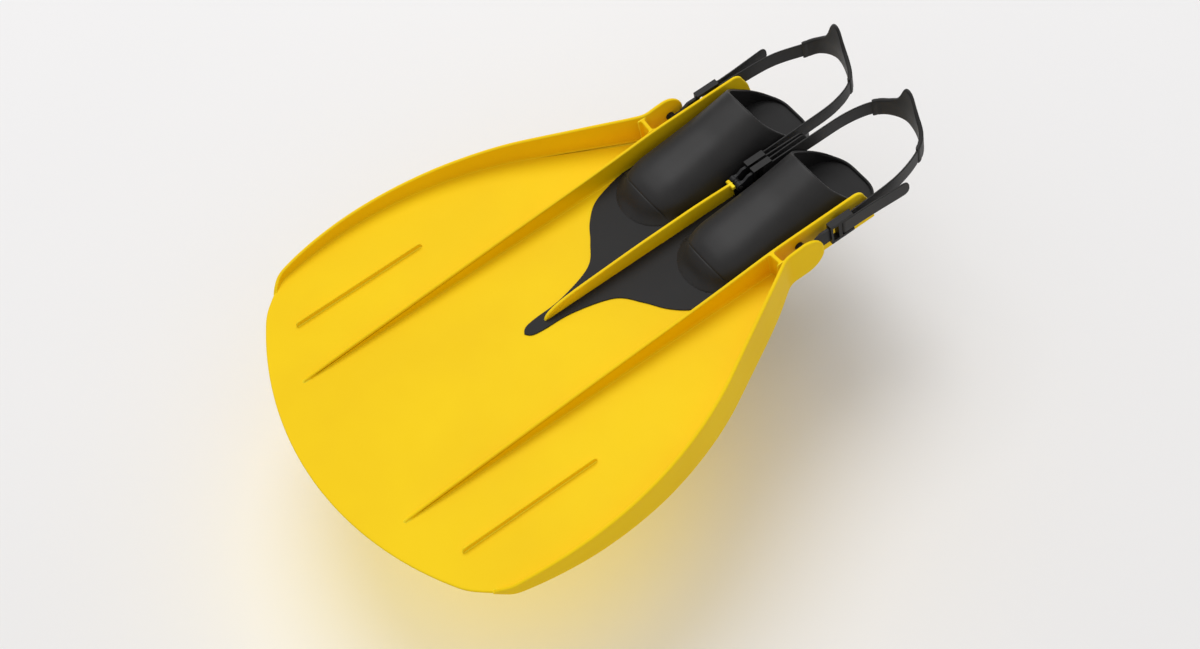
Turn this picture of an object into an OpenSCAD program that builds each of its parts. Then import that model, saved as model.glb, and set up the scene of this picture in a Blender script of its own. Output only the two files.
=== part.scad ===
// Monofin: one wide blade with two open-heel foot pockets and two heel straps.
// Origin: centre of the bounding box on the ground plane. +Y runs to the heels, +Z is up.

/* [Blade] */
// Thickness of the blade panel
panel_t = 4; // [3:0.5:5]
// Radius of the rear (trailing) edge of the blade
tail_r = 446; // [420:2:480]
// Radius of the two long side edges
side_r = 481; // [470:1:490]
// Thickness of the upright side flanges
flange_t = 4.5; // [3.5:0.5:5.5]
// Thickness of the two long rails and the centre keel
rail_t = 4; // [3:0.5:4.5]
// Distance of each long rail from the centre line
rail_x = 120; // [119:0.5:121]
// Distance of each short rib from the centre line
rib_x = 195; // [180:1:200]
// Height of the short ribs
rib_h = 7; // [5:0.5:8]
// Thickness of the rubber web laid on the blade
web_t = 1.6; // [1:0.2:2.4]

/* [Foot pockets] */
// Distance of each pocket from the centre line
pocket_x = 64.5; // [64:0.5:65]
// Half width of a pocket, and the radius of its toe
pocket_r = 53; // [50:0.5:53]
// Height of the instep above the blade
instep_h = 60; // [52:1:66]
// Rubber wall thickness
wall_t = 3.5; // [2.5:0.5:4.5]
// Thickness of the sole plates
sole_t = 7; // [5:1:9]
// Radius of the heel's two corners
heel_r = 40; // [30:2:46]

/* [Straps and buckles] */
// Strap width
strap_w = 22; // [18:1:23]
// Strap thickness
strap_t = 2.2; // [1.6:0.2:2.2]
// Height of the pull tab above the middle of the heel pad
tab_h = 47; // [30:1:52]
// Diameter of the swivel pins
pin_d = 5; // [4:0.5:6]
// Running clearance between a pin and its swivel, on the radius
pin_gap = 0.05; // [0.02:0.01:0.1]
// Outer buckle, distance from the centre line
buckle_x = 133; // [132:0.5:134]
// Inner buckle, distance from the centre line
buckle_in = 6.3; // [6:0.1:6.5]

/* [Hidden] */
$fn = 96;
yellow = "#f7c80f";
black = "#3b3938";
grey = "#4c4b4a";
// The ground plane lies this far under the blade's top face
ground = 28;
// Middle of the overall length
mid_y = 105.4;
side_cx = 197;
side_cy = -95;
bend_y = 130;
ear_y = 272;
ear_x = 145;
panel_end = 232;
toe_y = 183;
toe_c = toe_y + pocket_r;
heel_y = 441;
sole_top = -ground + sole_t;
bridge_top = -19;
pin_y = 306;
pin_z = 17;
// Distances from the swivel pin: start of the frame, its length, its half height, and the roller
outer_u = [37, 33, 16, 58];
inner_u = [20, 27, 14, 36];
roller_r = 1.9;
turn_r = roller_r + 0.3 + strap_t / 2;
side_x = sqrt(side_r * side_r - pow(bend_y - side_cy, 2)) - side_cx;
in_r = side_r - flange_t;
in_x = sqrt(in_r * in_r - pow(bend_y - side_cy, 2)) - side_cx;
ear_dx = flange_t * 1.17;
// Inner foot of the flange where the cross wall meets it
wall_y = 266;
wall_x = in_x + (ear_x - 2 - ear_dx - in_x) * (wall_y - bend_y) / (ear_y - bend_y);

// ---------- helpers ----------
module frame_at() translate([0, -mid_y, ground]) children();
module sided(s) mirror([s < 0 ? 1 : 0, 0, 0]) children();
// Plate of thickness t about x, its outline given in Y and Z
module upright(x, t) translate([x - t / 2, 0, 0]) rotate([90, 0, 90]) linear_extrude(t) children();

function mix(a, b, t) = a + (b - a) * t;
function crom(a, b, c, d, t) = 0.5 * (2 * b + (c - a) * t + (2 * a - 5 * b + 4 * c - d) * t * t
    + (3 * b - a - 3 * c + d) * t * t * t);
// Smooth curve through a short list of points, n steps in each span
function smooth(p, n) = [
    for (i = [0 : len(p) - 2])
        for (k = [0 : (i == len(p) - 2 ? n : n - 1)])
            crom(p[max(i - 1, 0)], p[i], p[i + 1], p[min(i + 2, len(p) - 1)], k / n)
];

// ---------- blade ----------
module side_round(r) {
    intersection() {
        translate([-side_cx, side_cy]) circle(r, $fn = 240);
        translate([side_cx, side_cy]) circle(r, $fn = 240);
        translate([-300, -320]) square([600, 320 + bend_y]);
    }
}

module blade_outline() {
    intersection() {
        union() {
            side_round(in_r);
            polygon([[-in_x, bend_y - 0.01], [in_x, bend_y - 0.01], [wall_x, wall_y],
                [-wall_x, wall_y]]);
        }
        translate([0, 138]) circle(tail_r, $fn = 240);
        circle(337, $fn = 240);
    }
}

module blade_panel() color(yellow) frame_at() translate([0, 0, -panel_t]) linear_extrude(panel_t) {
    difference() {
        blade_outline();
        for (s = [-1, 1]) translate([s * pocket_x, toe_c]) circle(pocket_r + 0.4);
        translate([-(rail_x + rail_t / 2), panel_end]) square([2 * rail_x + rail_t, 60]);
        // Slot for the keel, which runs down between the toes
        translate([-rail_t / 2, 186]) square([rail_t, 60]);
    }
}

module flange(s) color(yellow) frame_at() sided(s) {
    difference() {
        union() {
            intersection() {
                translate([0, 0, -40]) linear_extrude(90) {
                    intersection() {
                        difference() {
                            translate([-side_cx, side_cy]) circle(side_r, $fn = 240);
                            translate([-side_cx, side_cy]) circle(in_r, $fn = 240);
                        }
                        translate([200, -213]) square([100, 213 + bend_y]);
                    }
                    polygon([[side_x, bend_y], [ear_x - 2, ear_y], [ear_x - 2 - ear_dx, ear_y],
                        [in_x, bend_y]]);
                }
                upright(200, 200) polygon([[-213, -4], [-190, -8], [-101, -17], [0, -24], [100, -27],
                    [215, -27], [245, -23], [262, -15], [272, -9.5], [272, 41], [215, 38], [150, 34],
                    [75, 28], [0, 24], [-95, 20], [-150, 16.5], [-180, 13.5], [-195, 11], [-206, 7.5],
                    [-213, 2]]);
            }
            // Cross wall that ties the flange to the long rail
            translate([rail_x + rail_t / 2, wall_y, -panel_t])
                cube([wall_x + 0.7 - rail_x - rail_t / 2, 5, panel_t + 37]);
            // Ear: the flange's round end beside the outer buckle
            upright(ear_x - flange_t / 2, flange_t) {
                translate([ear_y - 2, -9.5]) square([30, 54]);
                translate([ear_y + 28, 17.5]) circle(27);
            }
        }
        translate([ear_x - flange_t - 1, pin_y, pin_z]) rotate([0, 90, 0])
            cylinder(d = pin_d + 0.04, h = 3.5);
    }
}

module rail(s) color(yellow) frame_at() sided(s) difference() {
    upright(rail_x, rail_t) {
        polygon(concat([[-252, 0], [-249, 3], [-200, 8], [-110, 13], [25, 21], [150, 27], [220, 32],
            [268, 36.5], [342, 37]], [for (a = [84 : -12 : 12]) [391 + 14 * cos(a), 21.5 + 14 * sin(a)]],
            [[413, 0], [417, -26], [panel_end, -26], [panel_end, 0]]));
    }
    translate([rail_x - rail_t / 2 + 1.5, pin_y, pin_z]) rotate([0, 90, 0])
        cylinder(d = pin_d + 0.04, h = rail_t);
}

module short_ribs() color(yellow) frame_at() for (s = [-1, 1]) upright(s * rib_x, 2.6)
    polygon([[-219, 0], [-218, rib_h - 2], [-215, rib_h], [-40, rib_h], [-37, rib_h - 2], [-36, 0]]);

module keel_rib() color(yellow) frame_at() {
    upright(0, rail_t) {
        polygon(concat([[20, web_t], [22, 6], [27, 10.5], [36, 14.5], [49, 17.5]],
            [[64, 19], [160, 24], [250, 25.5], [300, 23], [300, bridge_top], [186, bridge_top],
            [186, web_t]]));
    }
    // Short cross piece at the keel's rear end
    translate([-7, 295.5, 18]) cube([14, 4.5, 5]);
}

module rubber_web() color(black) frame_at() linear_extrude(web_t) difference() {
    half = smooth([[0, -9], [7, -3], [10, 12], [13, 52], [29, 102], [57, 125], [82, 141], [103, 163],
        [114, 194], [118, 214]], 5);
    n = len(half);
    polygon(concat(half, [[118, panel_end], [-118, panel_end]],
        [for (i = [n - 1 : -1 : 1]) [-half[i][0], half[i][1]]]));
    for (s = [-1, 1]) translate([s * pocket_x, toe_c]) circle(pocket_r + 0.4);
    translate([-rail_t / 2 - 0.1, 186]) square([rail_t + 0.2, 60]);
}

// ---------- foot pockets ----------
module sole_outline() {
    translate([0, toe_c]) circle(pocket_r);
    translate([-pocket_r, toe_c]) square([2 * pocket_r, heel_y - heel_r - toe_c]);
    translate([-pocket_r + heel_r, heel_y - heel_r - 1]) square([2 * (pocket_r - heel_r), heel_r + 1]);
    for (s = [-1, 1]) translate([s * (pocket_r - heel_r), heel_y - heel_r]) circle(heel_r);
}

module sole(s) color(black) frame_at() translate([s * pocket_x, 0, -ground])
    linear_extrude(sole_t) sole_outline();

// Black chassis that joins the two soles and carries the inner swivels
module centre_bridge() color(black) frame_at() {
    bw = 2 * (pocket_x - pocket_r) - 0.2;
    difference() {
        union() {
            translate([-bw / 2, 250, -ground]) cube([bw, 140, ground + bridge_top]);
            upright(0, rail_t) {
                translate([pin_y - 5.4, bridge_top - 1]) square([10.8, pin_z - bridge_top + 1]);
                translate([pin_y, pin_z]) circle(5.4);
            }
        }
        translate([-5, pin_y, pin_z]) rotate([0, 90, 0]) cylinder(d = pin_d + 0.04, h = 10);
    }
}

// Height of the pocket's crest above its sole, by distance along the crest
function crest(y) = lookup(y, [[183, 8], [186, 22], [192, 34], [200, 43], [210, 49.5], [230, 54.5],
    [265, 60], [310, 68], [364, instep_h - sole_top]]);
// Rear edge of the upper: its Y at each height
function rim_y(z) = lookup(z, [[-21, 432], [-8, 421], [8, 403], [20, 391], [40, 375], [50, 368],
    [60, 364]]);
function toe_w(y, d) = y < toe_c
    ? sqrt(max(pow(pocket_r - d, 2) - pow(toe_c - y, 2), pow(12 - d, 2)))
    : pocket_r - d;
// Share of the full width that the sole still has near its round heel
function heel_w(y) = (pocket_r - heel_r
    + sqrt(pow(heel_r, 2) - pow(min(max(y - heel_y + heel_r, 0), heel_r - 1), 2))) / pocket_r;
cols = 26;
round_k = 0.72;
// One point of the pocket: k runs along it, j round it, d is the depth below the outer skin
function skin(k, j, d) =
    let (yc = mix(toe_y, 364, k) + d * max(0, 1 - 12 * k),
        a = 180 * j / cols,
        w = toe_w(mix(toe_y, 364, k), d),
        ca = cos(a),
        x = w * sign(ca) * pow(abs(ca), round_k),
        h = crest(mix(toe_y, 364, k)) - d,
        zz = sole_top + h * pow(sin(a), round_k),
        y = yc + k * (rim_y(zz) - 364))
    [x * heel_w(y), y, zz];

module pocket_part(k0, k1, rows, toe) {
    ks = [for (i = [0 : rows]) mix(k0, k1, toe ? pow(i / rows, 1.6) : i / rows)];
    c = cols + 1;
    n = c * (rows + 1);
    out = [for (k = ks) for (j = [0 : cols]) skin(k, j, 0)];
    inn = [for (k = ks) for (j = [0 : cols]) skin(k, j, wall_t)];
    grid = [
        for (i = [0 : rows - 1]) for (j = [0 : cols - 1]) each [
            [i * c + j, i * c + j + 1, (i + 1) * c + j + 1],
            [i * c + j, (i + 1) * c + j + 1, (i + 1) * c + j]
        ]
    ];
    back = [for (f = grid) [n + f[2], n + f[1], n + f[0]]];
    foot = [
        for (i = [0 : rows - 1]) each [
            [i * c, (i + 1) * c, n + (i + 1) * c],
            [i * c, n + (i + 1) * c, n + i * c],
            [i * c + cols, n + i * c + cols, n + (i + 1) * c + cols],
            [i * c + cols, n + (i + 1) * c + cols, (i + 1) * c + cols]
        ]
    ];
    e = rows * c;
    rear = [
        for (j = [0 : cols - 1]) each [
            [e + j, e + j + 1, n + e + j + 1],
            [e + j, n + e + j + 1, n + e + j]
        ]
    ];
    front = toe ? concat(
        [for (j = [1 : cols - 1]) [0, j + 1, j]],
        [for (j = [1 : cols - 1]) [n, n + j, n + j + 1]],
        [[0, n, n + cols], [0, n + cols, cols]]
    ) : [
        for (j = [0 : cols - 1]) each [
            [j, n + j + 1, j + 1],
            [j, n + j, n + j + 1]
        ]
    ];
    polyhedron(concat(out, inn), concat(grid, back, foot, rear, front), convexity = 6);
}

seam_k = 0.145;
module toe_cap(s) color(grey) frame_at() translate([s * pocket_x, 0, 0])
    pocket_part(0, seam_k, 8, true);
module pocket(s) color(black) frame_at() translate([s * pocket_x, 0, 0])
    pocket_part(seam_k, 1, 14, false);

// ---------- swivels, buckles and straps ----------
module pin_rod(x0, x1) translate([x0, pin_y, pin_z]) rotate([0, 90, 0])
    cylinder(d = pin_d, h = x1 - x0);
module pin_outer(s) color("#777777") frame_at() sided(s)
    pin_rod(rail_x - rail_t / 2 + 1.6, ear_x - flange_t + 2.4);
module pin_centre() color("#777777") frame_at() pin_rod(-9.2, 9.2);

// Swivel link: a barrel on the pin and a flat tongue to the buckle
module link(s, bx, x0, x1, u) color(black) frame_at() sided(s) difference() {
    union() {
        translate([x0, pin_y, pin_z]) rotate([0, 90, 0]) cylinder(d = 11, h = x1 - x0);
        upright(bx, 3.6) translate([pin_y, pin_z]) {
            neck = u[0] * 0.33;
            wide = u[0] * 0.65;
            tip = u[2] - 5;
            polygon([[0, -5], [neck, -5], [wide, -tip], [u[0], -tip], [u[0], tip], [wide, tip],
                [neck, 5], [0, 5]]);
        }
    }
    translate([x0 - 1, pin_y, pin_z]) rotate([0, 90, 0])
        cylinder(d = pin_d + 2 * pin_gap, h = x1 - x0 + 2);
}

// Buckle frame: two windows, side slots in which the roller floats, and a round mouth bar
module buckle(s, bx, u) color(black) frame_at() sided(s) {
    bar = u[3] - 6 - (u[3] - 6 - u[0]) * 0.27;
    slot = u[2] - 1.2;
    difference() {
        upright(bx, 9) translate([pin_y, pin_z]) difference() {
            translate([u[0], -u[2]]) square([u[1], 2 * u[2]]);
            translate([u[0] + 3, -11.6]) square([bar - u[0] - 3, 23.2]);
            translate([u[3] - 5.2, -11.6]) square([40, 23.2]);
        }
        translate([bx - 2, pin_y + u[3] - 2.2, pin_z - slot]) cube([4, 6.6, 2 * slot]);
    }
    translate([bx, pin_y + u[0] + u[1] - 2.5, pin_z - 12]) cylinder(r = 1.8, h = 24);
}

module roller(s, bx, u) color("#8a8a8a") frame_at() sided(s)
    translate([bx, pin_y + u[3], pin_z - u[2] + 1.7]) cylinder(r = roller_r, h = 2 * u[2] - 3.4);

ry = pin_y + outer_u[3];
iy = pin_y + inner_u[3];
// The strap's centre line: outer tail, outer roller, round the heel, inner roller, inner tail
route = concat(
    smooth([[140, 456, 17], [139, 437, 17], [137.5, 413, 17], [136.5, 390, 17],
        [buckle_x + turn_r, ry + 8, 17], [buckle_x + turn_r, ry, 17]], 3),
    [for (a = [30 : 30 : 150]) [buckle_x + turn_r * cos(a), ry - turn_r * sin(a), 17]],
    smooth([[buckle_x - turn_r, ry, 17], [buckle_x - turn_r, ry + 14, 17], [129, 402, 17],
        [125, 452, 17], [112, 492, 17], [97, 510, 25], [69, 516, 34], [42, 510, 30],
        [22, 496, 22], [12, 464, 19], [buckle_in + turn_r + 0.6, 418, 18], [buckle_in + turn_r, iy + 20, 17],
        [buckle_in + turn_r, iy, 17]], 5),
    [for (a = [30 : 30 : 150]) [buckle_in + turn_r * cos(a), iy - turn_r * sin(a), 17]],
    [[buckle_in - turn_r, iy, 17], [buckle_in - turn_r, iy + 16, 17], [2.4, 384, 17], [2, 410, 17]]
);
last = len(route) - 1;
// Ring at which the heel pad starts: four spans of five rings past the outer roller
pad_first = 41;
// Half width of the strap at each ring: full, with rounded free ends
function half_w(i) = strap_w / 2 * lookup(min(i, (last - i) * 2), [[0, 0.45], [1, 0.8], [2, 0.96],
    [3, 1]]);
function flat_dir(p, i) = let (d = p[min(i + 1, len(p) - 1)] - p[max(i - 1, 0)], v = [d[0], d[1]])
    [v[1], -v[0], 0] / norm(v);

// Closed band along a path. Each ring has four corners
module band(p, t, lo, hi) {
    n = len(p);
    pts = [
        for (i = [0 : n - 1]) each [
            p[i] + flat_dir(p, i) * t / 2 + [0, 0, lo[i]],
            p[i] + flat_dir(p, i) * t / 2 + [0, 0, hi[i]],
            p[i] - flat_dir(p, i) * t / 2 + [0, 0, hi[i]],
            p[i] - flat_dir(p, i) * t / 2 + [0, 0, lo[i]]
        ]
    ];
    sides = [
        for (i = [0 : n - 2]) for (j = [0 : 3]) each [
            [4 * i + j, 4 * i + (j + 1) % 4, 4 * i + 4 + (j + 1) % 4],
            [4 * i + j, 4 * i + 4 + (j + 1) % 4, 4 * i + 4 + j]
        ]
    ];
    e = 4 * (n - 1);
    polyhedron(pts, concat(sides, [[0, 2, 1], [0, 3, 2], [e, e + 1, e + 2], [e, e + 2, e + 3]]),
        convexity = 8);
}

module strap(s) color(black) frame_at() sided(s)
    band(route, strap_t, [for (i = [0 : last]) -half_w(i)], [for (i = [0 : last]) half_w(i)]);

// Heel pad: a sleeve on the middle of the strap, drawn up into a pull tab
pad_route = [for (i = [pad_first : pad_first + 20]) route[i]];
function pad_top(i) = let (q = abs(i / (len(pad_route) - 1) - 0.5) * 2)
    14 + (tab_h - 14) * lookup(q, [[0, 1], [0.1, 0.96], [0.17, 0.75], [0.25, 0.42], [0.36, 0.14],
        [0.6, 0]]);

module heel_pad(s) color(grey) frame_at() sided(s) {
    p = pad_route;
    difference() {
        band(p, 5.6, [for (i = [0 : len(p) - 1]) -14], [for (i = [0 : len(p) - 1]) pad_top(i)]);
        band(concat([p[0] * 2 - p[1]], p, [p[len(p) - 1] * 2 - p[len(p) - 2]]), strap_t + 0.6,
            [for (i = [0 : len(p) + 1]) -strap_w / 2 - 0.3],
            [for (i = [0 : len(p) + 1]) strap_w / 2 + 0.3]);
    }
}

blade_panel();
flange(-1);  // flange_left
flange(1);  // flange_right
rail(-1);  // rail_left
rail(1);  // rail_right
short_ribs();
keel_rib();
rubber_web();
centre_bridge();
sole(-1);  // sole_left
sole(1);  // sole_right
toe_cap(-1);  // toe_cap_left
toe_cap(1);  // toe_cap_right
pocket(-1);  // pocket_left
pocket(1);  // pocket_right
pin_outer(-1);  // pin_left
pin_outer(1);  // pin_right
pin_centre();
link(-1, buckle_x, 122.4, 140.1, outer_u);  // link_outer_left
link(-1, buckle_in, 2.3, 9, inner_u);  // link_inner_left
link(1, buckle_x, 122.4, 140.1, outer_u);  // link_outer_right
link(1, buckle_in, 2.3, 9, inner_u);  // link_inner_right
buckle(-1, buckle_x, outer_u);  // frame_outer_left
buckle(-1, buckle_in, inner_u);  // frame_inner_left
buckle(1, buckle_x, outer_u);  // frame_outer_right
buckle(1, buckle_in, inner_u);  // frame_inner_right
roller(-1, buckle_x, outer_u);  // roller_outer_left
roller(-1, buckle_in, inner_u);  // roller_inner_left
roller(1, buckle_x, outer_u);  // roller_outer_right
roller(1, buckle_in, inner_u);  // roller_inner_right
strap(-1);  // strap_left
strap(1);  // strap_right
heel_pad(-1);  // heel_pad_left
heel_pad(1);  // heel_pad_right
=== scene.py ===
import math

import bmesh
import bpy
import numpy as np
from mathutils import Matrix, Vector


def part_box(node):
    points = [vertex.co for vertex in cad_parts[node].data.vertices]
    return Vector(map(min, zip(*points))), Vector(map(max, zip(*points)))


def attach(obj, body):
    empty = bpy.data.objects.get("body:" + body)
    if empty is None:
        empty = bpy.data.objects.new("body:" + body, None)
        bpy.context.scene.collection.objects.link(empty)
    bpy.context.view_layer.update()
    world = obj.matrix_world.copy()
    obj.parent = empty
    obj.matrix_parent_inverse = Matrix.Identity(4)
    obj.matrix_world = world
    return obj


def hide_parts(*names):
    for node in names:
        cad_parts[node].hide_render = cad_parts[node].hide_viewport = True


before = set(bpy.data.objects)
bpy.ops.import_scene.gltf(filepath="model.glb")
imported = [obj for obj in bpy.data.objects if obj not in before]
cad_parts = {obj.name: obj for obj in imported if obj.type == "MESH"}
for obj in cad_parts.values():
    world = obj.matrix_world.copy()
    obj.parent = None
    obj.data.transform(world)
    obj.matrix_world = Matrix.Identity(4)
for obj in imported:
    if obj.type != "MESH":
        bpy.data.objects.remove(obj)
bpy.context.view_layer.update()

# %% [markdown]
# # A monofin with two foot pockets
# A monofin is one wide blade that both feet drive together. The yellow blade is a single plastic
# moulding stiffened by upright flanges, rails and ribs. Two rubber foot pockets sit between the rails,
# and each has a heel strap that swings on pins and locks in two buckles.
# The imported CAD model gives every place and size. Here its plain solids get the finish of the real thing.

# %% [markdown]
# ## One drawing, in millimetres
# The fin is drawn as its maker would: in millimetres, with height measured from the blade's top face and
# length from a datum line across the blade. Two CAD boxes say where that datum is, so a drawn point
# becomes a scene point with one multiplication and one shift.

# %% Datum and main sizes
MM = 0.001


def node_box(node):
    """Lowest and highest corner of a CAD node, in the scene's millimetres."""
    low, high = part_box(node)
    return np.array(low) / MM, np.array(high) / MM


blade_low, blade_high = node_box("blade_panel")
RAIL_TIP = -252.0
datum = np.array([0.0, node_box("rail_right")[0][1] - RAIL_TIP, blade_high[2]])
print("datum line and blade top, mm:", datum.round(1))


def drawn(node):
    """Lowest and highest corner of a CAD node, in the drawing's millimetres."""
    low, high = node_box(node)
    return low - datum, high - datum


# %% [markdown]
# ## Curves from a few points
# Mouldings have flowing lines. Blender could hold them as Bezier curves, but short lists of points and a
# few small functions keep each line next to the piece that it shapes. `flowing` passes a smooth curve
# through the points, `even` spaces points evenly along any line and can round its corners, `eased` reads a
# height from a short table, and `arc` draws a round.

# %% Smooth lines
def flowing(points, steps):
    """Smooth curve that passes through every point."""
    p = np.array(points, float)
    line = []
    for i in range(len(p) - 1):
        a, b, c, d = p[max(i - 1, 0)], p[i], p[i + 1], p[min(i + 2, len(p) - 1)]
        for t in np.linspace(0, 1, steps, endpoint=False):
            bend = (2 * a - 5 * b + 4 * c - d) * t**2 + (3 * b - a - 3 * c + d) * t**3
            line.append(0.5 * (2 * b + (c - a) * t + bend))
    return np.array(line + [p[-1]])


def even(points, step, blur=0.0):
    """Points a fixed step apart along a line. blur rounds its corners over that many millimetres."""
    p = np.array(points, float)
    run = np.r_[0, np.cumsum(np.linalg.norm(np.diff(p, axis=0), axis=1))]
    at = np.linspace(0, run[-1], max(3, int(round(run[-1] / step)) + 1))
    reach = np.minimum(blur, np.minimum(at, run[-1] - at))
    spread = np.linspace(-1, 1, 9) if blur else [0.0]
    looks = [[np.interp(at + reach * k, run, p[:, c]) for c in range(p.shape[1])] for k in spread]
    return np.mean(looks, axis=0).T


def eased(at, table, blur):
    """Value at each place from a short table of (place, value) pairs, with the corners rounded."""
    place, value = np.array(table, float).T
    at = np.asarray(at, float)
    reach = np.clip(np.minimum(at - place[0], place[-1] - at), 0, blur)
    return np.mean([np.interp(at + reach * k, place, value) for k in np.linspace(-1, 1, 9)], axis=0)


def arc(centre, radius, start, end, steps):
    """Points on a circle from one angle to another, in degrees."""
    a = np.radians(np.linspace(start, end, steps))
    return np.c_[centre[0] + radius * np.cos(a), centre[1] + radius * np.sin(a)]


print("a bend through 3 points becomes", len(flowing([(0, 0), (10, 4), (20, 0)], 6)), "points")

# %% [markdown]
# ## Solids with rounded edges
# No moulded edge is sharp: the tool is cut with a ball cutter, and plastic shrinks away from corners.
# Those small rounds catch the light, so each solid is made with them. A bevel modifier would also do it,
# but it fails where curved outlines meet, so the rounds are drawn as rings of a loft instead. A plate is a
# loft from its lower face to its upper face, along rings that shrink a little at both ends.

# %% Loft and plate
QUARTER_STEPS = 5


def loft(rings):
    """Closed skin over a run of rings that all have the same number of points."""
    rings = np.array(rings, float)
    count, size = rings.shape[:2]
    faces = []
    for i in range(count - 1):
        for j in range(size):
            k = (j + 1) % size
            faces.append((i * size + j, i * size + k, (i + 1) * size + k, (i + 1) * size + j))
    last = (count - 1) * size
    faces.append(tuple(range(size - 1, -1, -1)))
    faces.append(tuple(range(last, last + size)))
    return rings.reshape(-1, 3), faces


def inset(outline, depth):
    """The closed outline moved inwards by depth."""
    p = np.array(outline, float)
    back, ahead = p - np.roll(p, 1, 0), np.roll(p, -1, 0) - p
    back /= np.linalg.norm(back, axis=1)[:, None]
    ahead /= np.linalg.norm(ahead, axis=1)[:, None]
    a, b = np.c_[-back[:, 1], back[:, 0]], np.c_[-ahead[:, 1], ahead[:, 0]]
    middle = a + b
    middle /= np.maximum(np.linalg.norm(middle, axis=1), 1e-9)[:, None]
    return p + middle * (depth / np.maximum((middle * a).sum(1), 0.5))[:, None]


def plate(outline, low, high, edge, dish=()):
    """Slab with rounded edges. dish is a list of (inset, drop) rings that hollow its top face."""
    p = np.array(outline, float)
    x, y = p.T
    if np.sum(x * np.roll(y, -1) - y * np.roll(x, -1)) < 0:
        p = p[::-1]
    quarter = np.radians(np.linspace(0, 90, QUARTER_STEPS))
    steps = [(edge * (1 - math.sin(a)), low + edge * (1 - math.cos(a))) for a in quarter]
    steps += [(edge * (1 - math.sin(a)), high - edge * (1 - math.cos(a))) for a in quarter[::-1]]
    steps += [(edge + more, high - drop) for more, drop in dish]
    return loft([np.c_[inset(p, depth), np.full(len(p), height)] for depth, height in steps])


def stood(part):
    """A plate turned to stand along the fin: its outline is read as length and height."""
    return part[0][:, [2, 0, 1]], part[1]


# %% [markdown]
# ### Walls and fillets
# A wall is a loft the other way: its rings are upright cross-sections that follow a line on the blade, and
# each may have its own thickness and height. A fillet is a thin strip with a hollow face, laid in the
# corner between a wall and the face that it stands on.

# %% Wall and fillet
def upright_section(half, low, high, edge):
    """Closed outline of a wall's cross-section, as (across, height) pairs."""
    r = min(edge, half * 0.999, (high - low) / 2 * 0.999)
    corners = [(half - r, low + r, -90), (half - r, high - r, 0), (r - half, high - r, 90),
               (r - half, low + r, 180)]
    return np.vstack([arc((u, v), r, start, start + 90, QUARTER_STEPS) for u, v, start in corners])


def across(line):
    """Level direction square to a line at each of its points."""
    run = np.gradient(np.array(line, float)[:, :2], axis=0)
    side = np.c_[run[:, 1], -run[:, 0]]
    return np.c_[side / np.linalg.norm(side, axis=1)[:, None], np.zeros(len(side))]


def wall(line, half, low, high, edge):
    """Upright wall along a line on the blade. half, low and high are given for each point."""
    side = across(line)
    rings = []
    for point, out, h, lo, hi in zip(line, side, half, low, high):
        section = upright_section(h, lo, hi, edge)
        base = np.array([point[0], point[1], 0.0])
        rings.append(base + section[:, :1] * out + section[:, 1:] * np.array([0, 0, 1.0]))
    return loft(rings)


def fillet(line, away, size, rise=1.0):
    """Hollow strip that softens the corner between a wall and a face."""
    rings = []
    for point, out, s in zip(np.array(line, float), away, size):
        a = np.radians(np.linspace(270, 180, 6))
        hollow = np.c_[s + s * np.cos(a), s + s * np.sin(a)]
        hollow = np.vstack([hollow, [(-0.5, s), (-0.5, -0.5), (s, -0.5)]])
        rings.append(point + hollow[:, :1] * out + hollow[:, 1:] * np.array([0, 0, rise]))
    return loft(rings)


def mirrored(part):
    """The same part on the other side of the fin."""
    return part[0] * np.array([-1.0, 1.0, 1.0]), part[1]


print("a wall's cross-section has", len(upright_section(2, 0, 20, 1)), "points")

# %% [markdown]
# ## From a drawing to a piece
# A piece is a mesh object that rides on a body of the mechanism and stands in for CAD nodes. Smooth shading
# with weighted normals keeps the flat faces flat and the rounds round, as polished tool steel would.

# %% Make a piece
SMOOTH_UP_TO = math.radians(48)


def finish_mesh(piece, body, material, nodes):
    """Shading, material, body and CAD nodes of one visible piece."""
    piece.data.polygons.foreach_set("use_smooth", [True] * len(piece.data.polygons))
    piece.data.set_sharp_from_angle(angle=SMOOTH_UP_TO)
    piece.data.materials.append(material)
    normals = piece.modifiers.new("even_shading", "WEIGHTED_NORMAL")
    normals.keep_sharp = True
    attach(piece, body)
    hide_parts(*nodes)
    print(f"{piece.name}: {len(piece.data.vertices)} points")
    return piece


def make_piece(name, parts, body, material, nodes):
    """One object from drawn parts: millimetres become metres and the datum goes to its place."""
    mesh = bpy.data.meshes.new(name)
    points, faces, start = [], [], 0
    for part_points, part_faces in parts:
        points.append((part_points + datum) * MM)
        faces += [tuple(start + i for i in face) for face in part_faces]
        start += len(part_points)
    mesh.from_pydata(np.vstack(points).tolist(), [], faces)
    work = bmesh.new()
    work.from_mesh(mesh)
    bmesh.ops.remove_doubles(work, verts=work.verts, dist=1e-7)
    bmesh.ops.recalc_face_normals(work, faces=work.faces)
    work.to_mesh(mesh)
    work.free()
    piece = bpy.data.objects.new(name, mesh)
    bpy.context.scene.collection.objects.link(piece)
    return finish_mesh(piece, body, material, nodes)


def make_pair(name, parts, body, material, node):
    """The piece on the right and its mirror image on the left. {} in body stands for the side."""
    pair = []
    for side, shapes in (("right", parts), ("left", [mirrored(p) for p in parts])):
        pair.append(make_piece(f"{name}_{side}", shapes, body.format(side), material,
                               [f"{node}_{side}"]))
    return pair


# %% [markdown]
# ## Camera, floor and light
# The fin lies turned under a camera that looks down at 55 degrees and leans a little to one side. This
# shows the whole blade and the inside of both pockets. The camera comes first, so each piece can be judged
# as made.

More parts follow.
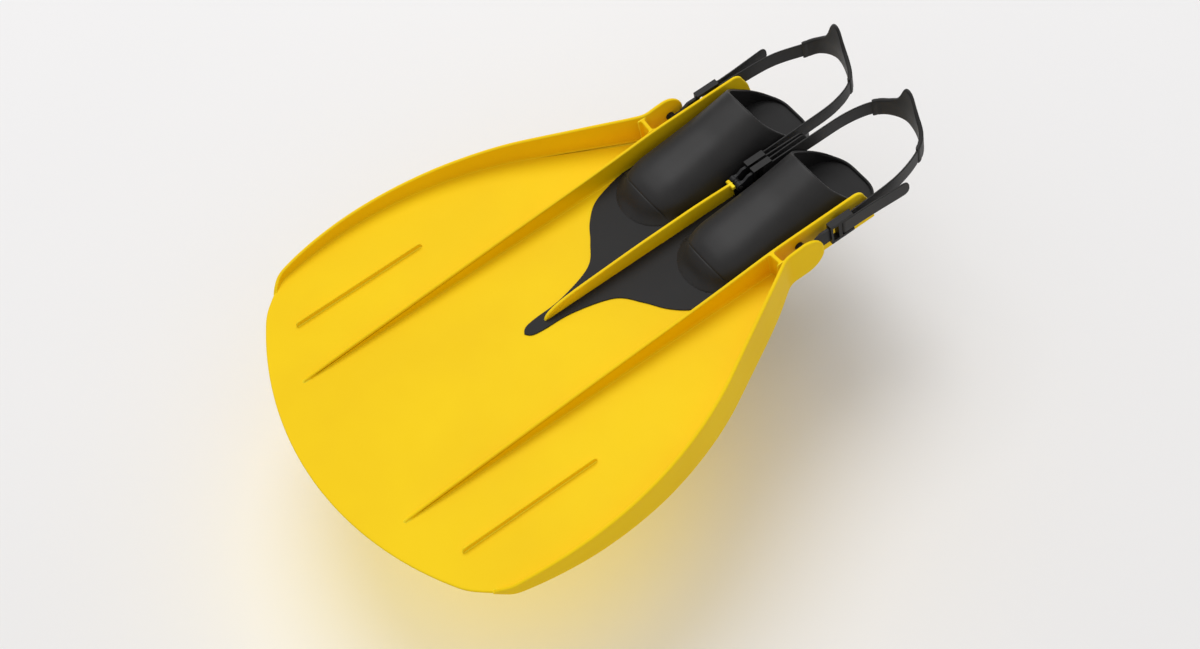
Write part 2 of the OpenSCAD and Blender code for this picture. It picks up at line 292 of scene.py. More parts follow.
# %% Camera
scene = bpy.context.scene
target = Vector((0.04752, -0.03736, 0.028))
turn, height, lean = math.radians(70.49), math.radians(55.52), math.radians(17.73)
forward = Vector((-math.sin(turn) * math.cos(height), math.cos(turn) * math.cos(height),
                  -math.sin(height)))
level = forward.cross(Vector((0, 0, 1))).normalized()
top = math.cos(lean) * level.cross(forward) + math.sin(lean) * level
camera = bpy.data.objects.new("camera", bpy.data.cameras.new("camera"))
camera.data.lens = 57
camera.data.sensor_width = 36
CAMERA_DISTANCE = 2.2301
camera.rotation_mode = "QUATERNION"
camera.location = target - CAMERA_DISTANCE * forward
camera.rotation_quaternion = Matrix((forward.cross(top), top, -forward)).transposed().to_quaternion()
scene.collection.objects.link(camera)
scene.camera = camera
scene.view_settings.view_transform = "Standard"
print("camera at", [round(v, 3) for v in camera.location])

# %% [markdown]
# ## Materials
# One small function adds a node with its settings and links, and one turns the hex colours that a paint
# chart gives into the linear light that Blender works in. Every grain below is sized in millimetres.

# %% Node and colour helpers
def linear(code):
    """Linear colour from an sRGB hex code."""
    parts = [int(code[i:i + 2], 16) / 255 for i in (1, 3, 5)]
    return tuple(c / 12.92 if c <= 0.04045 else ((c + 0.055) / 1.055) ** 2.4 for c in parts) + (1.0,)


def add_node(tree, kind, inputs=(), **settings):
    """One node with its settings; an input may be a value or the output of another node."""
    made = tree.nodes.new(kind)
    for name, value in settings.items():
        setattr(made, name, value)
    for name, value in dict(inputs).items():
        if isinstance(value, bpy.types.NodeSocket):
            tree.links.new(value, made.inputs[name])
        else:
            made.inputs[name].default_value = value
    return made


def per_mm(size):
    """Noise scale that gives features of this size in millimetres, in object coordinates."""
    return 1000.0 / size


def new_material(name):
    """An empty material, its node tree and the coordinates that its patterns use."""
    made = bpy.data.materials.new(name)
    made.use_nodes = True
    made.node_tree.nodes.clear()
    place = add_node(made.node_tree, "ShaderNodeTexCoord")
    return made, made.node_tree, place.outputs["Object"]


def close_material(made, surface):
    """Links the finished surface to the material's output."""
    add_node(made.node_tree, "ShaderNodeOutputMaterial", {"Surface": surface})
    print(f"{made.name}: {len(made.node_tree.nodes)} nodes")
    return made


print("linear light of mid grey #808080:", round(linear("#808080")[0], 3))

# %% [markdown]
# ### Yellow blade: injection-moulded polypropylene
# Real blades are polypropylene or a similar flexing plastic, moulded in a softly polished tool. It gives
# the eye a strong even yellow, a soft wide gloss, and a faint cloudiness where the melt flowed. The flow
# marks are about 140 mm long. The tool's texture is about 0.3 mm and is drawn at 1.4 mm, so that it can
# show. It scatters most of the gloss, so the specular level is low. A mask of the outer edges paints a
# pale yellow highlight on the rims and rib tops, where they would catch the light.

# %% Moulded polypropylene
def moulded_polypropylene():
    made, tree, place = new_material("moulded_polypropylene")
    flow = add_node(tree, "ShaderNodeTexNoise", {"Vector": place, "Scale": per_mm(140), "Detail": 3.0})
    tint = add_node(tree, "ShaderNodeValToRGB", {"Fac": flow.outputs["Fac"]})
    tint.color_ramp.elements[0].position = 0.35
    tint.color_ramp.elements[0].color = linear("#f1c100")
    tint.color_ramp.elements[1].position = 0.68
    tint.color_ramp.elements[1].color = linear("#f6c900")
    # Painted highlight: a pointiness mask of the rounded edges mixes pale yellow into the rims and rib
    # tops.
    edge = add_node(tree, "ShaderNodeNewGeometry")
    edge_mask = add_node(tree, "ShaderNodeMapRange", {"Value": edge.outputs["Pointiness"], "From Min": 0.51,
                                                 "From Max": 0.57, "To Min": 0.0, "To Max": 0.8})
    lighter = add_node(tree, "ShaderNodeMix", {"Factor": edge_mask.outputs["Result"],
                                              "A": tint.outputs["Color"], "B": linear("#fff03c")},
                      data_type="RGBA")
    cloud = add_node(tree, "ShaderNodeTexNoise", {"Vector": place, "Scale": per_mm(22), "Detail": 4.0})
    gloss = add_node(tree, "ShaderNodeMapRange", {"Value": cloud.outputs["Fac"], "To Min": 0.36,
                                                  "To Max": 0.46})
    grain = add_node(tree, "ShaderNodeTexNoise", {"Vector": place, "Scale": per_mm(1.4), "Detail": 2.0})
    bump = add_node(tree, "ShaderNodeBump", {"Height": grain.outputs["Fac"], "Strength": 0.12,
                                             "Distance": 0.0002})
    surface = add_node(tree, "ShaderNodeBsdfPrincipled", {
        "Base Color": lighter.outputs["Result"], "Roughness": gloss.outputs["Result"],
        "Normal": bump.outputs["Normal"], "IOR": 1.49, "Specular IOR Level": 0.05})
    return close_material(made, surface.outputs["BSDF"])


yellow = moulded_polypropylene()

# %% [markdown]
# ### Foot pockets, web, soles and straps: moulded thermoplastic rubber
# Thermoplastic rubber is poured round the blade in a second tool. It is matte, a little lighter where light
# grazes it, and never quite black: bloom and fine dust lift it to a warm grey and dull its gloss. The same
# recipe makes each part, with its own colours and grain. The grain is 0.2 mm on the real part and is drawn
# at 0.8 to 1.6 mm, so that it can show.

# %% Thermoplastic rubber
def thermoplastic_rubber(name, deep, bloomed, grain_mm, grain_depth, roughness, scuff):
    made, tree, place = new_material(name)
    bloom = add_node(tree, "ShaderNodeTexNoise", {"Vector": place, "Scale": per_mm(45), "Detail": 5.0,
                                                  "Roughness": 0.6})
    tint = add_node(tree, "ShaderNodeValToRGB", {"Fac": bloom.outputs["Fac"]})
    tint.color_ramp.elements[0].position = 0.3
    tint.color_ramp.elements[0].color = linear(deep)
    tint.color_ramp.elements[1].position = 0.72
    tint.color_ramp.elements[1].color = linear(bloomed)
    edge = add_node(tree, "ShaderNodeNewGeometry")
    edge_mask = add_node(tree, "ShaderNodeMapRange", {"Value": edge.outputs["Pointiness"], "From Min": 0.53,
                                                 "From Max": 0.62, "To Min": 0.0, "To Max": scuff})
    scuffed = add_node(tree, "ShaderNodeMix", {"Factor": edge_mask.outputs["Result"],
                                               "A": tint.outputs["Color"], "B": linear("#6b6967")},
                       data_type="RGBA")
    rough = add_node(tree, "ShaderNodeMapRange", {"Value": bloom.outputs["Fac"],
                                                  "To Min": roughness - 0.05, "To Max": roughness + 0.07})
    grain = add_node(tree, "ShaderNodeTexNoise", {"Vector": place, "Scale": per_mm(grain_mm),
                                                  "Detail": 3.0})
    bump = add_node(tree, "ShaderNodeBump", {"Height": grain.outputs["Fac"], "Strength": 0.35,
                                             "Distance": grain_depth * MM})
    surface = add_node(tree, "ShaderNodeBsdfPrincipled", {
        "Base Color": scuffed.outputs["Result"], "Roughness": rough.outputs["Result"],
        "Normal": bump.outputs["Normal"], "IOR": 1.5, "Specular IOR Level": 0.26, "Sheen Weight": 0.03,
        "Sheen Roughness": 0.5})
    return close_material(made, surface.outputs["BSDF"])


pocket_rubber = thermoplastic_rubber("pocket_rubber", "#1f1e1e", "#272625", 1.0, 0.25, 0.42, 0.35)
toe_rubber = thermoplastic_rubber("toe_rubber", "#201f1f", "#262524", 1.0, 0.25, 0.48, 0.0)
web_rubber = thermoplastic_rubber("web_rubber", "#161515", "#1b1a1a", 1.6, 0.3, 0.6, 0.0)
sole_rubber = thermoplastic_rubber("sole_rubber", "#191818", "#1f1e1e", 1.2, 0.4, 0.6, 0.15)
strap_rubber = thermoplastic_rubber("strap_rubber", "#1f1e1e", "#262524", 0.8, 0.2, 0.48, 0.2)
pad_rubber = thermoplastic_rubber("pad_rubber", "#272625", "#2e2d2c", 0.8, 0.25, 0.5, 0.25)

# %% [markdown]
# ### Buckles: black acetal
# Acetal is the usual plastic for buckles: slippery, stiff and springy. Moulded in a fine matte tool it is a
# deep black with a satin sheen. The grain of the tool is drawn at 0.7 mm, about twice its real size.

# %% Moulded acetal
def moulded_acetal(name, deep, lighter, roughness):
    made, tree, place = new_material(name)
    cloud = add_node(tree, "ShaderNodeTexNoise", {"Vector": place, "Scale": per_mm(9), "Detail": 4.0})
    tint = add_node(tree, "ShaderNodeValToRGB", {"Fac": cloud.outputs["Fac"]})
    tint.color_ramp.elements[0].position = 0.35
    tint.color_ramp.elements[0].color = linear(deep)
    tint.color_ramp.elements[1].position = 0.75
    tint.color_ramp.elements[1].color = linear(lighter)
    gloss = add_node(tree, "ShaderNodeMapRange", {"Value": cloud.outputs["Fac"],
                                                  "To Min": roughness - 0.06, "To Max": roughness + 0.08})
    grain = add_node(tree, "ShaderNodeTexNoise", {"Vector": place, "Scale": per_mm(0.7), "Detail": 2.0})
    bump = add_node(tree, "ShaderNodeBump", {"Height": grain.outputs["Fac"], "Strength": 0.25,
                                             "Distance": 0.0001})
    surface = add_node(tree, "ShaderNodeBsdfPrincipled", {
        "Base Color": tint.outputs["Color"], "Roughness": gloss.outputs["Result"],
        "Normal": bump.outputs["Normal"], "IOR": 1.48, "Specular IOR Level": 0.2})
    return close_material(made, surface.outputs["BSDF"])


buckle_acetal = moulded_acetal("buckle_acetal", "#131212", "#1a1919", 0.42)
link_acetal = moulded_acetal("link_acetal", "#1b1b1c", "#232325", 0.45)

# %% [markdown]
# ### Pins and rollers: brushed stainless steel
# Marine stainless rod, turned and brushed. The brushing runs round the rod in hairlines of about 0.1 mm,
# drawn at 0.5 mm, which stretch the highlight along it.

# %% Brushed stainless steel
def brushed_stainless():
    made, tree, place = new_material("brushed_stainless")
    stretch = add_node(tree, "ShaderNodeMapping", {"Vector": place, "Scale": (1.0, 0.06, 0.06)})
    lines = add_node(tree, "ShaderNodeTexNoise", {"Vector": stretch.outputs["Vector"],
                                                  "Scale": per_mm(0.5), "Detail": 4.0})
    tint = add_node(tree, "ShaderNodeValToRGB", {"Fac": lines.outputs["Fac"]})
    tint.color_ramp.elements[0].color = linear("#a9a8a4")
    tint.color_ramp.elements[1].color = linear("#d6d5d2")
    gloss = add_node(tree, "ShaderNodeMapRange", {"Value": lines.outputs["Fac"], "To Min": 0.24,
                                                  "To Max": 0.4})
    surface = add_node(tree, "ShaderNodeBsdfPrincipled", {
        "Base Color": tint.outputs["Color"], "Roughness": gloss.outputs["Result"], "Metallic": 1.0})
    return close_material(made, surface.outputs["BSDF"])


steel = brushed_stainless()

# %% [markdown]
# ### Floor: a roll of pale studio paper
# A matte paper sweep gives an even ground that takes soft shadows. It lies 200 mm below the fin, as if the
# fin hung over it on thin lines. Paper pulp is faintly uneven over hundreds of millimetres.

# %% Studio paper and floor
def studio_paper():
    made, tree, place = new_material("studio_paper")
    pulp = add_node(tree, "ShaderNodeTexNoise", {"Vector": place, "Scale": per_mm(700), "Detail": 2.0})
    tint = add_node(tree, "ShaderNodeValToRGB", {"Fac": pulp.outputs["Fac"]})
    tint.color_ramp.elements[0].color = linear("#ecebea")
    tint.color_ramp.elements[1].color = linear("#efeeed")
    surface = add_node(tree, "ShaderNodeBsdfPrincipled", {
        "Base Color": tint.outputs["Color"], "Roughness": 0.9, "Specular IOR Level": 0.1})
    return close_material(made, surface.outputs["BSDF"])


FLOOR_DROP, FLOOR_RADIUS = 0.20, 9.0
floor_mesh = bpy.data.meshes.new("floor")
work = bmesh.new()
bmesh.ops.create_circle(work, cap_ends=True, segments=96, radius=FLOOR_RADIUS)
work.to_mesh(floor_mesh)
work.free()
floor = bpy.data.objects.new("floor", floor_mesh)
floor.location.z = -FLOOR_DROP
floor.data.materials.append(studio_paper())
scene.collection.objects.link(floor)
print("floor below the soles, m:", FLOOR_DROP)

# %% [markdown]
# ### Lamps and room light
# One large soft lamp stands behind and to the left, high enough for short soft shadows, and an even white
# room fills the rest. A real blade lets some daylight through and stains the paper below it yellow; a weak
# yellow lamp under the blade stands in for that.

# %% Lamps and sky
def soft_box(name, location, aim, size, power):
    """A round soft lamp that points at a place."""
    light = bpy.data.objects.new(name, bpy.data.lights.new(name, "AREA"))
    light.data.shape = "DISK"
    light.data.size = size
    light.data.energy = power
    light.location = location
    light.rotation_euler = (Vector(aim) - Vector(location)).to_track_quat("-Z", "Y").to_euler()
    scene.collection.objects.link(light)
    print(name, "watts:", power)
    return light


soft_box("key_light", (-2.4, 1.3, 5.0), (0, 0, 0), 3.8, 140)
glow_card = soft_box("glow_under_blade", (0.05, -0.26, -0.02), (0.05, -0.26, -1), 0.5, 0.4)
glow_card.data.color = linear("#f0dc00")[:3]
sky = bpy.data.worlds.new("studio_sky")
sky.use_nodes = True
sky.node_tree.nodes.clear()
direction = add_node(sky.node_tree, "ShaderNodeTexCoord")
split = add_node(sky.node_tree, "ShaderNodeSeparateXYZ", {"Vector": direction.outputs["Generated"]})
rise = add_node(sky.node_tree, "ShaderNodeMapRange", {"Value": split.outputs["Z"], "From Min": 0.0,
                                                      "From Max": 1.0, "To Min": 0.42, "To Max": 0.9})
glow = add_node(sky.node_tree, "ShaderNodeBackground", {"Color": linear("#f6f6f8"),
                                                        "Strength": rise.outputs["Result"]})
add_node(sky.node_tree, "ShaderNodeOutputWorld", {"Surface": glow.outputs["Background"]})
scene.world = sky

# %% [markdown]
# ## The yellow moulding
# On the real fin the panel, flanges, rails, ribs and keel are one shot of plastic. Here each is its own
# piece, set a little into its neighbour, and a fillet strip fills each inner corner as the tool's radius
# does. One joined mesh would need booleans along curved walls, and those leave ragged shading. The blade's
# outline is the room that three circles share, one for each side and one for the trailing edge, with its
# corners cut by a fourth.

# %% Outline of the blade
panel_t = blade_high[2] - blade_low[2]
flange_high = drawn("flange_right")[1]
half_wide = flange_high[0]
FLANGE_T = 4.5
SIDE_R, SIDE_Y = 481.0, -95.0
SIDE_X = SIDE_R - half_wide
TAIL_R, TAIL_Y, CORNER_R = 446.0, 138.0, 337.0
BEND_Y, WALL_Y, EAR_Y, EAR_X, EAR_END = 130.0, 266.0, 272.0, 142.75, flange_high[1]


def exit_distance(heading, centre, radius):
    """How far a ray from the drawing's origin runs before it leaves a circle."""
    near = heading @ np.array(centre)
    return near + np.sqrt(radius**2 - (np.dot(centre, centre) - near**2))


def side_line(depth, corner):
    """The right edge of the blade, from its rear end to the middle of the trailing edge."""
    radius = SIDE_R - depth
    bend_x = math.sqrt(radius**2 - (BEND_Y - SIDE_Y) ** 2) - SIDE_X
    points = []
    for angle in np.radians(np.linspace(math.degrees(math.atan2(BEND_Y, bend_x)), -90, 220)):
        heading = np.array([math.cos(angle), math.sin(angle)])
        reach = min(exit_distance(heading, (-SIDE_X, SIDE_Y), radius),
                    exit_distance(heading, (0, 0), corner),
                    exit_distance(heading, (0, TAIL_Y), TAIL_R))
        points.append(heading * reach)
    return np.array(points)


panel_side = side_line(FLANGE_T, CORNER_R)
print("blade half width, mm:", round(half_wide, 1))

# %% [markdown]
# ### Panel
# The panel is the flexing sheet of the blade. Its trailing edge is a full round. Two bays at its rear let
# the toes of the foot pockets through.

# %% Blade panel
PANEL_END, BAY_GAP = 232.0, 0.4
rail_low, rail_high = drawn("rail_right")
sole_low, sole_high = drawn("sole_right")
pocket_x = (sole_low[0] + sole_high[0]) / 2
pocket_r = (sole_high[0] - sole_low[0]) / 2
toe_y = sole_low[1]
toe_centre = toe_y + pocket_r
rail_middle = (rail_low[0] + rail_high[0]) / 2
bay = arc((pocket_x, toe_centre), pocket_r + BAY_GAP, -4.5, -175.5, 40)
edge_run = even(np.vstack([[(EAR_X - 4, WALL_Y)], panel_side]), 3.5, 10)
right_half = np.vstack([bay[::-1], [(rail_middle, PANEL_END), (rail_middle, WALL_Y + 2)], edge_run])
panel_outline = np.vstack([right_half, (right_half * [-1, 1])[::-1][1:]])
panel = plate(panel_outline, -panel_t, 0.0, 1.9)
make_piece("blade_sheet", [panel], "fin", yellow, ["blade_panel"])

# %% [markdown]
# ### Side flanges
# Each flange is an upright wall that runs along the blade's side and ends in a round ear beside the outer
# buckle. It rises quickly behind its front end and is highest near the foot, where the blade bends most.
# First its line and its upper and lower edges are worked out, place by place.

# %% Flange line and heights
flange_run = even(np.vstack([[(EAR_X, EAR_END - 0.05), (EAR_X, EAR_Y + 2)],
                             side_line(FLANGE_T / 2, CORNER_R - 1.2)]), 1.2, 7)
FLANGE_TIP = -217.0
flange_run = flange_run[flange_run[:, 1] > FLANGE_TIP]
along = flange_run[:, 1]
FLANGE_TOP = [(FLANGE_TIP, -0.8), (-213, 3.5), (-206, 7.8), (-195, 11.2), (-180, 13.5),
              (-150, 16.5), (-95, 20), (0, 24), (75, 28), (150, 34),
              (215, 38), (268, 41), (274, 42), (286, 44.2), (327, 44.5)]
FLANGE_LOW = [(-226, -3.4), (-213, -4), (-190, -8), (-101, -17), (0, -24), (100, -27), (215, -27),
              (245, -23), (262, -15), (272, -9.5), (327, -9.5)]
EAR_R, EAR_Z = 27.0, 17.5
ear_middle = EAR_END - EAR_R
top_line = eased(along, FLANGE_TOP, np.clip((along - FLANGE_TIP) * 0.35, 0.8, 16))
low_line = eased(along, FLANGE_LOW, 12)
round_end = np.sqrt(np.maximum(EAR_R**2 - np.maximum(along - ear_middle, 0) ** 2, 0.01))
behind = along > ear_middle
top_line = np.where(behind, EAR_Z + round_end, np.minimum(top_line, EAR_Z + EAR_R))
low_line = np.where(behind, EAR_Z - round_end, low_line)
print("flange line points and greatest height, mm:", len(along), round(top_line.max(), 1))

# %% [markdown]
# One wall then follows the whole line. It thins to a round at the ear's end, and a fillet softens its foot
# above and below the panel.

# %% Flange wall and fillets
END_ROUND, FOOT_ABOVE, FOOT_BELOW = 2.2, 1.4, 3.0
from_end = np.clip(EAR_END - along, 0, END_ROUND)
half = np.maximum(FLANGE_T / 2 * np.sqrt(1 - (1 - from_end / END_ROUND) ** 2), 0.15)
flange = wall(flange_run, half, low_line, top_line, 2.0)
inward = across(flange_run)
foot = flange_run + inward[:, :2] * FLANGE_T / 2
ahead = foot[:, 1] < WALL_Y
size = np.clip(top_line, 0.3, FOOT_ABOVE)[ahead]
upper = fillet(np.c_[foot, np.zeros(len(foot))][ahead], inward[ahead], size)
depth = np.clip(-panel_t - low_line, 0.1, FOOT_BELOW)[ahead]
under = fillet(np.c_[foot, np.full(len(foot), -panel_t)][ahead], inward[ahead], depth, -1.0)
right_flange = [flange, upper, under]
print("flange, mm:", np.ptp(flange[0], axis=0).round(1))

# %% [markdown]
# ### Cross walls
# A short wall ties each flange to its long rail just in front of the buckle. Its ends flare into both, so a
# kick doesn't crack the corner.

# %% Cross walls
rail_face = rail_high[0] - 0.4
wall_x = np.linspace(rail_face, EAR_X - 0.6, 36)
FLARE = 4.0


def flared(distance):
    close = np.clip(FLARE - distance, 0, FLARE)
    return FLARE - np.sqrt(FLARE**2 - close**2)


front_x = EAR_X - 1.6
spread = flared(wall_x - rail_face - 0.4) + flared(np.maximum(front_x - wall_x, 0))
cross_line = np.c_[wall_x, np.full(len(wall_x), WALL_Y + 2.5)]
cross_top = np.interp(wall_x, [rail_face, EAR_X], [36.3, 39.5])
cross = wall(cross_line, 2.5 + spread, np.full(len(wall_x), -panel_t), cross_top, 1.9)
right_flange.append(cross)
make_pair("flange_wall", right_flange, "fin", yellow, "flange")

# %% [markdown]
# ### Long rails
# A rail runs from near the trailing edge right back past the foot, where it grows downwards as well and
# holds the foot pocket. It starts almost flush and rises steadily, so the blade is stiff at the foot and
# soft at its end.

# %% Rails
RAIL_TOP = [(RAIL_TIP, 0), (-249, 3), (-200, 8), (-110, 13), (25, 21), (150, 27), (220, 32), (268, 36.5),
            (377, 37)]
rail_y = np.r_[np.linspace(RAIL_TIP, -236, 12), np.linspace(-230, 391, 130)]
top_edge = np.c_[rail_y, eased(rail_y, RAIL_TOP, np.clip((rail_y - RAIL_TIP) * 0.4, 0.3, 25))]
rail_tail = arc((391, 23.0), 14, 84, 12, 8)
rail_base = rail_low[2]
outline = np.vstack([top_edge, rail_tail, even([(411, 12), (413, 0), (rail_high[1], rail_base)], 4, 4),
                     [(PANEL_END + 2, rail_base)], [(PANEL_END, rail_base + 2), (PANEL_END, -0.8)],
                     [(0, -0.8), (RAIL_TIP + 1, -0.8)]])
rail_t = rail_high[0] - rail_low[0]
rail = stood(plate(outline, rail_middle - rail_t / 2, rail_middle + rail_t / 2, 1.7))


def rib_fillets(x, half, start, end, crest, size, step=6.0):
    """The two fillets at the foot of a rib that runs along the fin."""
    strips = []
    for way in (-1, 1):
        line = even([(x + way * half, start, 0), (x + way * half, end, 0)], step)
        fit = np.clip(np.minimum(eased(line[:, 1], crest, 10) * 0.6, size), 0.05, size)
        strips.append(fillet(line, np.tile([way, 0, 0], (len(line), 1)), fit))
    return strips


rail_parts = [rail] + rib_fillets(rail_middle, rail_t / 2, RAIL_TIP + 1, WALL_Y, RAIL_TOP, 1.5)
make_pair("long_rail", rail_parts, "fin", yellow, "rail")

# %% [markdown]
# ### Short ribs
# A low rib on each outer field of the blade keeps the thin sheet from rippling. It is about half as high as
# the rail beside it, thinner, and blunt at both ends.

# %% Short ribs
RIB_HALF = 1.3
rib_high = drawn("short_ribs")[1]
rib_x = rib_high[0] - RIB_HALF
rib_top = rib_high[2]
RIB_TOP = [(-219, 0), (-218.2, rib_top - 2.2), (-215, rib_top), (-40, rib_top), (-36.8, rib_top - 2.2),
           (-36, 0)]
rib_y = np.r_[np.linspace(-219, -214, 8), np.linspace(-210, -44, 30), np.linspace(-41, -36, 8)]
rib_outline = np.vstack([np.c_[rib_y, eased(rib_y, RIB_TOP, 0.8)], [(-38, -1.0), (-217, -1.0)]])
rib = stood(plate(rib_outline, rib_x - RIB_HALF, rib_x + RIB_HALF, 1.0))
rib_parts = [rib] + rib_fillets(rib_x, RIB_HALF, -217, -38, RIB_TOP, 0.8)
make_piece("short_ribs_pair", rib_parts + [mirrored(p) for p in rib_parts], "fin", yellow,
           ["short_ribs"])

# %% [markdown]
# ### Keel
# The keel rises out of the rubber web with a curved nose and runs back between the feet. A small cross
# piece at its end shields the inner buckles.

# %% Keel rib
keel_low, keel_high = drawn("keel_rib")
web_t = drawn("rubber_web")[1][2]
KEEL_TOP = [(20, 1.6), (22, 6), (27, 10.5), (36, 14.5), (49, 17.5), (64, 19.2), (160, 24), (250, 25.4),
            (300, 23.2)]
keel_y = np.r_[np.linspace(keel_low[1] + 0.2, 40, 24), np.linspace(46, keel_high[1], 50)]
keel_blur = np.clip((keel_y - 20) * 0.5, 0.3, 20)
keel_outline = np.vstack([[(keel_low[1] + 0.4, web_t - 1)],
                          np.c_[keel_y, eased(keel_y, KEEL_TOP, keel_blur)],
                          [(keel_high[1], keel_low[2]), (186, keel_low[2]), (186, web_t - 1)]])
keel = stood(plate(keel_outline, keel_low[0] + 5, keel_high[0] - 5, 1.7))
tee_low, tee_high = np.array([keel_low[0], keel_high[1] - 4.5]), np.array([keel_high[0], keel_high[1]])
tee = even([(tee_low[0], tee_low[1]), (tee_high[0], tee_low[1]), (tee_high[0], tee_high[1]),
            (tee_low[0], tee_high[1]), (tee_low[0], tee_low[1])], 1.0, 1.4)[:-1]
keel_parts = [keel, plate(tee, 18.0, 23.2, 1.1)]
make_piece("keel_wall", keel_parts, "fin", yellow, ["keel_rib"])

# %% [markdown]
# ## The rubber web
# A thin rubber sheet is moulded on the blade in front of the toes. It spreads the load of the soft pockets
# over the hard plastic. Its edge is a soft low step. A tongue of it runs forward under the keel's nose, and
# another runs back between the toe caps.

# %% Web
WEB_EDGE = [(0, -9), (7, -3), (10, 12), (13, 52), (29, 102), (57, 125), (82, 141), (103, 163), (114, 194),
            (118, 214)]
web_front = even(flowing(WEB_EDGE, 8), 3)
bay_under = arc((pocket_x, toe_centre), pocket_r - 2.0, -5, -175, 30)
web_half = np.vstack([web_front, [(118, PANEL_END)], bay_under, [(11.4, 236), (11.4, 292), (3, 299)]])
web_outline = np.vstack([web_half, (web_half * [-1, 1])[::-1][:-1]])
web = plate(web_outline, -0.5, web_t, 0.7)
make_piece("toe_web", [web], "fin", web_rubber, ["rubber_web"])

# %% [markdown]
# ## Foot pockets
# A pocket is a rubber shell: a domed toe cap, a seam, and an upper whose rear edge drops from the instep
# down to the heel of the sole. Its shape is one formula of two numbers, one along the foot and one round
# it, so the shell, its lip and its inside stay an even thickness. A sculpt couldn't promise that.

# %% The pocket's skin
SOLE_TOP = sole_high[2]
pocket_high = drawn("pocket_right")[1]
OPENING_Y = 364.0
CREST = [(183, 8), (186, 22), (192, 34), (200, 43), (210, 49.5), (230, 54.5), (265, 60), (310, 68),
         (OPENING_Y, pocket_high[2] - SOLE_TOP)]
RIM = [(-21, 437), (-14, 430), (-8, 421), (8, 403), (20, 391), (40, 375), (50, 368), (60, OPENING_Y)]
WALL_T = 3.5
SOLE_R = 40.0
ROUND_K = 0.72
SEAM_K, SEAM_SWEEP = 0.118, 0.05
turns = np.linspace(0, math.pi, 81)
seam = SEAM_K + SEAM_SWEEP * (1 - np.sin(turns))


def toe_half(y, depth):
    """Half the width of the round toe at this length."""
    gap = np.clip(toe_centre - y, 0, None)
    return np.sqrt(np.maximum((pocket_r - depth) ** 2 - gap**2, 0.02))


def heel_share(y):
    """How much of its full width the sole still has at this length, near its round heel."""
    past = np.clip(y - (sole_high[1] - SOLE_R), 0, SOLE_R - 0.5)
    return (pocket_r - SOLE_R + np.sqrt(SOLE_R**2 - past**2)) / pocket_r


def skin(k, depth):
    """A run of points from one side of the sole over the foot to the other, a share k along the foot."""
    k = k + np.zeros(len(turns))
    y = toe_y + (OPENING_Y - toe_y) * k
    crest = eased(np.minimum(y, OPENING_Y), CREST, 8) - depth
    cos, sin = np.cos(turns), np.sin(turns).clip(0)
    x = toe_half(y, depth) * np.sign(cos) * np.abs(cos) ** ROUND_K
    z = SOLE_TOP + crest * sin**ROUND_K
    y = y + depth * np.clip(1 - 12 * k, 0, 1) + k * (eased(z, RIM, 7) - OPENING_Y)
    return np.c_[x * heel_share(y), y, z]


print("crest of the pocket above the blade, mm:", round(skin(1.0, 0.0)[:, 2].max(), 1))

# %% [markdown]
# Two details are worked into that skin. The foot of the toe cap spreads out over the web, as poured rubber
# does, and the skin dips a little along the seam.

# %% Flared foot and seam groove
FLARE_OUT, FLARE_HIGH = 7.5, 13.0
SEAM_DEPTH, SEAM_WIDTH = 0.9, 0.0045


def flare(points):
    """Spreads the foot of the toe cap into the web, as a poured rubber fillet."""
    x, y, z = points.T
    amount = FLARE_OUT * (1 - np.clip((z - web_t) / FLARE_HIGH, 0, 1)) ** 2.5
    amount *= np.clip(1 + (z - web_t) / 2.0, 0, 1) * np.clip((PANEL_END - 2 - y) / 12, 0, 1)
    out = np.c_[x, np.minimum(y - toe_centre, 0), np.zeros(len(x))]
    out /= np.maximum(np.linalg.norm(out, axis=1), 1e-6)[:, None]
    moved = points + out * amount[:, None]
    moved[:, 0] = np.clip(moved[:, 0], -62.0, np.maximum(x, pocket_r + 0.3))
    return moved


def seam_dip(k):
    """How deep the groove is at this share along the foot."""
    return SEAM_DEPTH * np.exp(-(((k - seam) / SEAM_WIDTH) ** 2))


print("seam runs from share", SEAM_K, "on top to", SEAM_K + SEAM_SWEEP, "at the sides")

# %% [markdown]
# ### Toe caps and uppers
# The toe cap is moulded first and the upper is poured against it, which leaves a fine groove between them.
# Both are closed shells: the outer skin and the same skin again one wall further in. The upper's rim is
# also a round lip.

# %% Toe caps and uppers
def shell(runs):
    """Closed shell from runs of points: each point of a run belongs to one lengthwise loop."""
    cloud = np.array(runs)
    return loft(cloud.transpose(1, 0, 2))


along_cap = np.r_[np.linspace(0, 1, 30)[:-1] ** 1.5, 0.965, 0.98, 0.995]
cap_runs = [flare(skin(seam * t, seam_dip(seam * t))) for t in np.sort(along_cap)]
cap = shell(cap_runs + [skin(seam * t, WALL_T) for t in np.linspace(0.995, 0, 12)])
along_upper = np.r_[0.0002, 0.003, 0.006, 0.010, np.linspace(0.02, 1, 50)]
upper_k = [seam + (1 - seam) * t for t in along_upper]
lip = np.radians(np.linspace(20, 160, 7))
POCKET_LONG, LIP_R = 181.0, WALL_T / 2
lip_runs = [skin(1 + LIP_R / POCKET_LONG * math.sin(a), LIP_R * (1 - math.cos(a))) for a in lip]
upper = shell([flare(skin(k, seam_dip(k))) for k in upper_k] + lip_runs
              + [skin(k, WALL_T) for k in upper_k[::-2]])
place = np.array([pocket_x, 0, 0])
cap, upper = (cap[0] + place, cap[1]), (upper[0] + place, upper[1])
for word, shells in (("right", (cap, upper)), ("left", (mirrored(cap), mirrored(upper)))):
    make_piece(f"toe_dome_{word}", shells[:1], "fin", toe_rubber, [f"toe_cap_{word}"])
    make_piece(f"upper_{word}", shells[1:], "fin", pocket_rubber, [f"pocket_{word}"])

# %% [markdown]
# ### Soles
# The sole is a thicker plate with a rounded edge. The foot side is dished for the heel, and the ground side
# has chevron bars in a shallow bay for grip on a wet deck. Bars are quicker and cleaner as small plates
# than as cuts.

